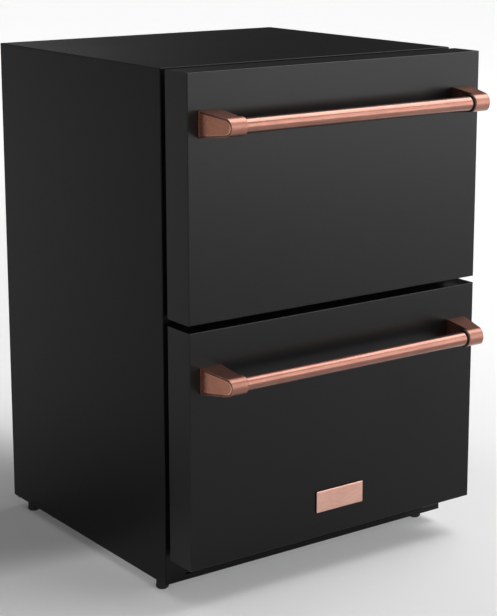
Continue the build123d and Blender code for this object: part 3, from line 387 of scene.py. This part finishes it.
# Compressor and motors. Pressed steel shells in baked black enamel, smooth and fairly glossy.
# The compressor stands on moulded rubber mounts.
enamel = finish("baked_black_enamel", "#0b0b0c", "#151516", 0.004, (0.2, 0.3), bump=0.06)
dress(enamel, "compressor", "condenser_fan_motor", "evaporator_fan_motor")
rubber = finish("moulded_black_rubber", "#111111", "#1b1b1b", 0.001, (0.7, 0.85), bump=0.2)
dress(rubber, "compressor_mounts")

# Condenser. Steel tube through thin steel fins, dipped in black paint. The fins are packed
# closer here than in the solid, 2.5 mm apart, as a real one has them.
coil_paint = finish("dipped_black_paint", "#0d0d0d", "#191919", 0.002, (0.4, 0.55), bump=0.1)
dress(coil_paint, "condenser_coil")


def box_mesh(name, low, high):
    """A thin sheet between two corners, used as one fin of a row."""
    shape = bmesh.new()
    bmesh.ops.create_cube(shape, size=1.0)
    low, high = Vector(low), Vector(high)
    for vertex in shape.verts:
        vertex.co = low + Vector([(high[i] - low[i]) * (vertex.co[i] + 0.5) for i in range(3)])
    mesh = bpy.data.meshes.new(name)
    shape.to_mesh(mesh)
    shape.free()
    return mesh


coil_low, coil_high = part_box("condenser_coil")
shroud_low, shroud_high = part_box("condenser_fan_shroud")
fin_pitch, fin_half, fin_inset, fin_end_inset = 0.0025, 0.00015, 0.004, 0.006
fin = box_mesh("fin", (-fin_half, 0, 0), (fin_half, coil_high.y - coil_low.y - 2 * fin_inset,
                                          coil_high.z - coil_low.z - 2 * fin_end_inset))
fin_count = int((shroud_high.x - shroud_low.x - 2 * fin_inset) / fin_pitch)
repeat("condenser_fins", fin, coil_paint, "cabinet",
       (shroud_low.x + fin_inset, coil_low.y + fin_inset, coil_low.z + fin_end_inset),
       (fin_pitch, 0, 0), fin_count)

# Refrigerant lines. Drawn copper tube, bent to shape and brazed to a copper filter drier, and
# tarnished in patches.
line_copper = finish("tarnished_copper_tube", "#7d4a33", "#bf7c5c", 0.012, (0.28, 0.5), Metallic=1.0)
dress(line_copper, "refrigerant_lines")

# Cold side. An aluminium evaporator with a stainless heater, behind a white moulded cover
# with a fan. Four zinc-plated pan-head screws hold the cover.
fin_aluminium = finish("mill_finish_aluminium", "#b6b9bb", "#d0d3d5", 0.004, (0.3, 0.45),
                       stretch=(1.0, 1.0, 8.0), Metallic=1.0)
dress(fin_aluminium, "evaporator_coil")
heater_sheath = finish("drawn_stainless_sheath", "#8c8a86", "#a8a6a1", 0.001, (0.25, 0.35),
                       stretch=(12.0, 1.0, 1.0), Metallic=1.0)
dress(heater_sheath, "defrost_heater")
white_plastic = finish("moulded_white_polypropylene", "#e2e5e6", "#eef0f0", 0.003, (0.38, 0.5), bump=0.08)
dress(white_plastic, "evaporator_cover", "evaporator_fan_blade", "upper_tub", "lower_tub")

cover_low, cover_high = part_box("evaporator_cover")
cover_screw_inset, pan_head_rise = 0.018, 0.002
front_head = lathe("cover_screw_head", [(0, 0), (screw_flange, 0), (screw_flange, -0.3 * pan_head_rise),
                                        (screw_flange * 0.7, -0.8 * pan_head_rise),
                                        (screw_flange * 0.35, -pan_head_rise), (0, -pan_head_rise)], 16)
repeat("evaporator_cover_screws", front_head, zinc, "cabinet",
       (cover_low.x + cover_screw_inset, cover_low.y, cover_low.z + cover_screw_inset),
       (cover_high.x - cover_low.x - 2 * cover_screw_inset, 0, 0), 2,
       (0, 0, cover_high.z - cover_low.z - 2 * cover_screw_inset), 2)

# Tub ribs. Both tubs are injection-moulded with low ribs along the floor, which lift the food
# and stiffen the sheet. Each rib is 4 mm wide with a rounded crest. The lower tub steps up
# behind its well to clear the compressor, and its shelf has ribs of its own.
tub_wall, tub_wall_gap, rib_inset = 0.0025, 0.008, 0.035
rib_width, rib_rise, rib_count = 0.004, 0.0014, 11
well_back, shelf_height = 0.0685, 0.3125


def rib_mesh(name, length, width, rise, steps=5):
    """A low rib along Y with a rounded crest and sloped ends, on z = 0, or under it if rise < 0."""
    shape = bmesh.new()
    rings = []
    slope, end_share = rise * 2, 0.02
    for y, share in ((0.0, end_share), (slope, 1.0), (length - slope, 1.0), (length, end_share)):
        turns = [math.pi * i / steps for i in range(steps + 1)]
        rings.append([shape.verts.new((width / 2 * math.cos(t), y, rise * share * math.sin(t)))
                      for t in turns])
    for first, second in zip(rings, rings[1:]):
        for i in range(steps + 1):
            j = (i + 1) % (steps + 1)
            shape.faces.new((first[i], first[j], second[j], second[i]))
    shape.faces.new(rings[0])
    shape.faces.new(rings[-1])
    bmesh.ops.recalc_face_normals(shape, faces=shape.faces)
    mesh = bpy.data.meshes.new(name)
    shape.to_mesh(mesh)
    shape.free()
    return mesh


upper_low, upper_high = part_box("upper_tub")
lower_low, lower_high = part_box("lower_tub")
for name, body, side_x, start, end, floor_z in (
    ("upper_tub_ribs", "upper_drawer", upper_high.x, upper_low.y, upper_high.y, upper_low.z + tub_wall),
    ("lower_tub_ribs", "lower_drawer", lower_high.x, lower_low.y, well_back, lower_low.z + tub_wall),
    ("lower_tub_shelf_ribs", "lower_drawer", lower_high.x, well_back, lower_high.y, shelf_height),
):
    inner_half = side_x - tub_wall_gap - rib_inset
    rib = rib_mesh(name, end - start - 2 * rib_inset, rib_width, rib_rise)
    repeat(name, rib, white_plastic, body,
           (-inner_half, start + rib_inset, floor_z), (2 * inner_half / (rib_count - 1), 0, 0), rib_count)

# Control panel. Polished black ABS with a shallow display window; the buttons are grey ABS
# and the lamp is a frosted diffuser.
gloss_abs = finish("polished_black_abs", "#060607", "#0a0a0b", 0.01, (0.08, 0.14), bump=0.02)
dress(gloss_abs, "control_panel")
button_abs = finish("satin_grey_abs", "#85888a", "#94979a", 0.001, (0.35, 0.45), bump=0.08)
dress(button_abs, "button_power", "button_colder", "button_warmer")
diffuser = finish("frosted_polycarbonate", "#eceae2", "#f6f4ee", 0.002, (0.45, 0.6), bump=0.1)
dress(diffuser, "led_lamp")

# Display. A smoked acrylic lens lies in the panel's window, and lit segments on it show a
# generic set temperature of minus 18 degrees.
panel_low, panel_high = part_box("control_panel")
window_middle, window_half, window_rise = -0.045, 0.05, 0.008
lens_gap, lens_front, lens_back = 0.0004, 0.0002, 0.001
lens_corner, lens_bevel = 0.0008, 0.00025
smoked_acrylic = finish("smoked_acrylic", "#030304", "#050506", 0.02, (0.04, 0.08), bump=0.0)
middle_z = (panel_low.z + panel_high.z) / 2
lens_low = Vector((window_middle - window_half, 0, middle_z - window_rise))
lens_high = Vector((window_middle + window_half, 0, middle_z + window_rise))
lens_y = panel_low.y + lens_front


def plate_ring(shape, low, high, inset, corner, y, steps=4):
    """One closed ring of vertices, a rectangle with round corners, at depth y."""
    ring = []
    for sign_x, sign_z, start in ((1, 1, 0), (-1, 1, 90), (-1, -1, 180), (1, -1, 270)):
        middle_x = (high.x - inset - corner) if sign_x > 0 else (low.x + inset + corner)
        middle_z = (high.z - inset - corner) if sign_z > 0 else (low.z + inset + corner)
        for i in range(steps + 1):
            turn = math.radians(start + 90 * i / steps)
            ring.append(shape.verts.new((middle_x + corner * math.cos(turn), y,
                                         middle_z + corner * math.sin(turn))))
    return ring


def stacked_plate(low, high, rings, side_index=0):
    """A closed plate from rings given as inset, corner, depth; its outer wall takes side_index."""
    shape = bmesh.new()
    made = [plate_ring(shape, low, high, *ring) for ring in rings]
    for first, second in zip(made, made[1:]):
        for i in range(len(first)):
            j = (i + 1) % len(first)
            face = shape.faces.new((first[i], first[j], second[j], second[i]))
            face.material_index = side_index if first == made[0] else 0
    shape.faces.new(made[0])
    shape.faces.new(made[-1])
    return shape


def seal(name, shape, material, body):
    """Turns a filled bmesh into a finished piece that rides on a body."""
    bmesh.ops.recalc_face_normals(shape, faces=shape.faces)
    mesh = bpy.data.meshes.new(name)
    shape.to_mesh(mesh)
    shape.free()
    mesh.materials.append(material)
    piece = bpy.data.objects.new(name, mesh)
    bpy.context.scene.collection.objects.link(piece)
    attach(piece, body)
    return piece


shape = stacked_plate(lens_low, lens_high, [
    (lens_gap, lens_corner, panel_low.y + lens_back),
    (lens_gap, lens_corner, lens_y + lens_bevel),
    (lens_gap + lens_bevel, lens_corner, lens_y)])
seal("display_lens", shape, smoked_acrylic, "cabinet")
digit_height, digit_width, digit_gap, sign_width = 0.0096, 0.0052, 0.0035, 0.6
segment, digit_lean, print_depth = 0.0011, 0.1, 0.00012
lit_segments = {"-": "g", "1": "bc", "8": "abcdefg", "o": "abfg"}
segment_lines = {"a": (0, 1, 1, 1), "b": (1, 1, 1, 0.5), "c": (1, 0.5, 1, 0), "d": (0, 0, 1, 0),
                 "e": (0, 0, 0, 0.5), "f": (0, 0.5, 0, 1), "g": (0, 0.5, 1, 0.5)}


def flat_stroke(shape, start, end, half, front, depth):
    """A thin pointed bar between two points of the XZ plane, standing out towards -Y."""
    start, end = Vector(start), Vector(end)
    along = (end - start).normalized()
    across = Vector((-along.y, along.x))
    corners = [start, start + (along + across) * half, end + (across - along) * half,
               end, end - (along + across) * half, start + (along - across) * half]
    rings = [[shape.verts.new((c.x, y, c.y)) for c in corners] for y in (front, front - depth)]
    for i in range(6):
        j = (i + 1) % 6
        shape.faces.new((rings[0][i], rings[0][j], rings[1][j], rings[1][i]))
    shape.faces.new(rings[0])
    shape.faces.new(rings[1])


lit_segment = finish("lit_display_segment", "#cfe4ff", "#dbeaff", 0.002, (0.3, 0.4), bump=0.0)
shape = bmesh.new()
for place, sign in enumerate("-18o"):
    width = digit_width * sign_width if sign == "o" else digit_width
    left = window_middle + (place - 2) * (digit_width + digit_gap)
    for key in lit_segments[sign]:
        x1, z1, x2, z2 = segment_lines[key]
        ends = [(left + x * width + (z - 0.5) * digit_height * digit_lean,
                 middle_z + (z - 0.5) * digit_height) for x, z in ((x1, z1), (x2, z2))]
        flat_stroke(shape, *ends, segment / 2, lens_y, print_depth)
seal("display_digits", shape, lit_segment, "cabinet")

# Button marks. White pad print on each button's cap: the common sign for power, a minus and
# a plus. Each rides on its own button.
ink = finish("white_pad_print", "#e9eaea", "#f3f4f4", 0.0008, (0.5, 0.6), bump=0.05)
mark_half, mark_line, power_stem = 0.0026, 0.00032, 1.25
arc_start, arc_turn, arc_steps = 125, 290, 20
for name in ("power", "colder", "warmer"):
    low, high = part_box("button_" + name)
    centre_x, centre_z = (low.x + high.x) / 2, (low.z + high.z) / 2
    shape = bmesh.new()
    strokes = [((-mark_half, 0), (mark_half, 0))]
    if name == "warmer":
        strokes.append(((0, -mark_half), (0, mark_half)))
    if name == "power":
        turns = [math.radians(arc_start + arc_turn * i / arc_steps) for i in range(arc_steps + 1)]
        round_line = [(mark_half * math.cos(t), mark_half * math.sin(t)) for t in turns]
        strokes = list(zip(round_line, round_line[1:])) + [((0, 0), (0, mark_half * power_stem))]
    for start, end in strokes:
        flat_stroke(shape, (centre_x + start[0], centre_z + start[1]),
                    (centre_x + end[0], centre_z + end[1]), mark_line, low.y, print_depth)
    seal("button_" + name + "_mark", shape, ink, "button_" + name)

# Lamp ribs. The diffuser is moulded with fine prisms across its underside, 4 mm apart, which
# spread the light of the diodes behind it.
lamp_low, lamp_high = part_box("led_lamp")
prism_pitch, prism_inset, prism_width, prism_drop = 0.004, 0.006, 0.0026, 0.0008
prism = rib_mesh("lamp_prism", lamp_high.y - lamp_low.y - 2 * prism_inset, prism_width, -prism_drop)
repeat("lamp_prisms", prism, diffuser, "cabinet",
       (lamp_low.x + prism_inset, lamp_low.y + prism_inset, lamp_low.z), (prism_pitch, 0, 0),
       int((lamp_high.x - lamp_low.x - 2 * prism_inset) / prism_pitch) + 1)

# Rails. Roll-formed steel channels, zinc-plated, with fine lines along their length from
# the rollers. Three members run in each other on each side of a drawer.
rail_zinc = finish("zinc_plated_rolled_steel", "#a6a9aa", "#c4c7c8", 0.0012, (0.26, 0.4),
                   stretch=(1.0, 40.0, 1.0), Metallic=1.0)
dress(rail_zinc, *[level + member for level in ("upper", "lower")
                   for member in ("_outer_rails", "_middle_rails", "_inner_rails")])

# Dividers. Moulded plates of frosted polystyrene, one in each tub, that are slid along the tub
# by hand.
divider_plastic = finish("frosted_polystyrene", "#ccd6dc", "#dbe3e7", 0.004, (0.4, 0.5), bump=0.05)
dress(divider_plastic, "upper_divider", "lower_divider")

# Gaskets. Extruded soft grey-black vinyl with a dull bloom, welded at the corners and pushed by
# its barb into a groove round each front's back.
gasket_vinyl = finish("extruded_soft_vinyl", "#0e0e0f", "#171718", 0.002, (0.55, 0.7), bump=0.1)
dress(gasket_vinyl, "upper_gasket", "lower_gasket")

# Handles. A round bar of stainless steel in slanted cast posts, all with a brushed coating in
# a copper colour. The brushing is about 0.1 mm fine; it is drawn 0.7 mm wide, long on the bar,
# so the bar shows two long soft highlights with a darker line between.


def brushed_copper(name, grain, stretch, rough, tones=("#7a4c40", "#9b6a5a"), worn=0.0011):
    """Copper-coloured metal brushed along the axis with the largest stretch, under a clear lacquer.
    Its edges are rounded for the light over the width worn, in metres."""
    low, high, clouds_per_metre, cloud_share = 0.34, 0.66, 25.0, 0.25
    material = bpy.data.materials.new(name)
    material.use_nodes = True
    tree = material.node_tree
    tree.nodes.clear()
    place = add_node(tree, "ShaderNodeTexCoord")
    lines = add_node(tree, "ShaderNodeMapping", {"Vector": place.outputs["Object"],
                                                 "Scale": [1 / (grain * s) for s in stretch]})
    lines = add_node(tree, "ShaderNodeTexNoise", {"Vector": lines.outputs[0], "Scale": 1.0, "Detail": 4.0,
                                                  "Roughness": 0.7})
    cloud = add_node(tree, "ShaderNodeTexNoise", {"Vector": place.outputs["Object"],
                                                  "Scale": clouds_per_metre})
    share = add_node(tree, "ShaderNodeMath", {0: lines.outputs["Fac"], 1: 1 - cloud_share},
                     operation="MULTIPLY")
    share = add_node(tree, "ShaderNodeMath", {0: cloud.outputs["Fac"], 1: cloud_share,
                                              2: share.outputs[0]}, operation="MULTIPLY_ADD")
    ramp = add_node(tree, "ShaderNodeValToRGB", {"Fac": share.outputs[0]})
    for stop, spot, code in zip(ramp.color_ramp.elements, (low, high), tones):
        stop.position = spot
        stop.color = linear(code)
    sheen = add_node(tree, "ShaderNodeMapRange", {"Value": share.outputs[0], "From Min": low,
                                                  "From Max": high, "To Min": rough[1],
                                                  "To Max": rough[0]})
    edge = add_node(tree, "ShaderNodeBevel", {"Radius": worn}, samples=4)
    relief = add_node(tree, "ShaderNodeBump", {"Height": lines.outputs["Fac"], "Strength": 0.12,
                                               "Distance": 0.0001, "Normal": edge.outputs[0]})
    skin = add_node(tree, "ShaderNodeBsdfPrincipled", {"Base Color": ramp.outputs[0], "Metallic": 1.0,
                                                       "Roughness": sheen.outputs[0],
                                                       "Coat Weight": 0.65, "Coat Roughness": 0.25,
                                                       "Normal": relief.outputs[0]})
    add_node(tree, "ShaderNodeOutputMaterial", {"Surface": skin.outputs[0]})
    return material


bar_copper = brushed_copper("brushed_copper_coating_on_bar", 0.0007, (60.0, 1.0, 1.0), (0.2, 0.3))
post_copper = brushed_copper("brushed_copper_coating_on_posts", 0.0007, (1.0, 14.0, 1.0), (0.36, 0.5),
                             ("#835143", "#a5705e"))
for level in ("upper", "lower"):
    dress(bar_copper, level + "_handle_bar")
    dress(post_copper, level + "_handle_bracket_left", level + "_handle_bracket_right")

# Handle caps. Cast D-shaped caps close the posts' outer ends, in a lighter copy of the copper as
# painted light. Their rim has a smooth chamfer, which catches the light and is painted lighter
# still as a painted highlight, a thin bright line beside the dark groove.
lit_cap_copper = brushed_copper("brushed_copper_painted_lighter_on_caps", 0.0007, (1.0, 14.0, 1.0), (0.22, 0.34),
                            ("#985f4a", "#bd8069"))
# The rim's lighter copper is a painted highlight.
highlight_rim_copper = brushed_copper("painted_highlight_copper_rim", 0.002, (1.0, 3.0, 1.0), (0.18, 0.24),
                            ("#c78f7c", "#d9a592"))
rim_width, rim_steps, weld_distance, cap_face_area = 0.0013, 2, 0.00001, 0.001
for level in ("upper", "lower"):
    shape = bmesh.new()
    shape.from_mesh(nodes[level + "_handle_caps"].data)
    bmesh.ops.remove_doubles(shape, verts=shape.verts, dist=weld_distance)
    bmesh.ops.dissolve_limit(shape, angle_limit=math.radians(1), verts=shape.verts, edges=shape.edges)
    rim = [edge for face in shape.faces for edge in face.edges
           if face.calc_area() > cap_face_area and face.normal.x * face.calc_center_median().x > 0]
    bmesh.ops.bevel(shape, geom=rim, offset=rim_width, segments=rim_steps, profile=0.5,
                    affect="EDGES", material=1)
    caps = seal(level + "_end_caps", shape, lit_cap_copper, level + "_drawer")
    caps.data.materials.append(highlight_rim_copper)
    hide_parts(level + "_handle_caps")

# Handle spacers. A black nylon ring fills the step between each bar and its right collar, and
# shows as a dark ring where the collar's end faces the room. The ring also stands in for the shade
# in that step, as painted shade, so only the right collars have one.
ring_outer, ring_inner, ring_depth, bar_seat = 0.0146, 0.01205, 0.0022, 0.02
ring_round, ring_bevel = 0.0006, 0.0005
# This black nylon is painted shade, here and in the plate's tape line.
shade_nylon = finish("black_nylon_for_painted_shade", "#070707", "#0c0c0c", 0.001, (0.6, 0.7), bump=0.1)
for level in ("upper", "lower"):
    bar_low, bar_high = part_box(level + "_handle_bar")
    ring = lathe(level + "_handle_spacer", [(ring_inner, 0.0), (ring_outer - ring_round, 0.0),
                                            (ring_outer, ring_bevel), (ring_outer, ring_depth),
                                            (ring_inner, ring_depth), (ring_inner, 0.0)], 48)
    turn = Matrix.Rotation(-math.pi / 2, 4, "Z")
    place = Vector((bar_high.x - bar_seat - ring_depth, (bar_low.y + bar_high.y) / 2,
                    (bar_low.z + bar_high.z) / 2))
    ring.transform(Matrix.Translation(place) @ turn)
    shape = bmesh.new()
    shape.from_mesh(ring)
    bmesh.ops.remove_doubles(shape, verts=shape.verts, dist=weld_distance)
    seal(level + "_handle_spacer", shape, shade_nylon, level + "_drawer")

# Plate. A bare brass-cored plate with the same coating, brushed across, fixed with tape. Its
# coating is a lighter copy of the copper, painted light. Its wide bevelled edge catches the light
# along the top. Its sides are painted near black as painted shade, and the black tape shows as a
# dark line round it, painted shade for the shadow gap under its edge.
plate_low, plate_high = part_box("badge_plate")
plate_bevel, bevel_depth, plate_corner, inner_corner = 0.0017, 0.0005, 0.0012, 0.8
side_draft, tape_inset, tape_depth = 0.0004, 0.0004, 0.0004
lit_plate_copper = brushed_copper("brushed_copper_painted_lighter_on_plate", 0.0007, (30.0, 1.0, 1.0), (0.4, 0.5),
                              ("#d09a89", "#e8bbab"), worn=0.0003)
# The sides' near-black copper is painted shade.
shaded_side_copper = brushed_copper("painted_shade_copper_on_plate_sides", 0.002, (1.0, 1.0, 1.0), (0.45, 0.6),
                             ("#3c2119", "#553226"), worn=0.0002)
front_y = plate_high.y
shape = stacked_plate(plate_low, plate_high, [
    (0.0, plate_corner, front_y - tape_depth),
    (side_draft, plate_corner, plate_low.y + bevel_depth),
    (plate_bevel, plate_corner * inner_corner, plate_low.y)], side_index=1)
plate = seal("name_plate", shape, lit_plate_copper, "lower_drawer")
plate.data.materials.append(shaded_side_copper)
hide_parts("badge_plate")
# The tape's black line is painted shade for the shadow gap.
shape = stacked_plate(plate_low, plate_high, [
    (tape_inset, plate_corner, front_y), (tape_inset, plate_corner, front_y - tape_depth)])
seal("plate_tape", shape, shade_nylon, "lower_drawer")
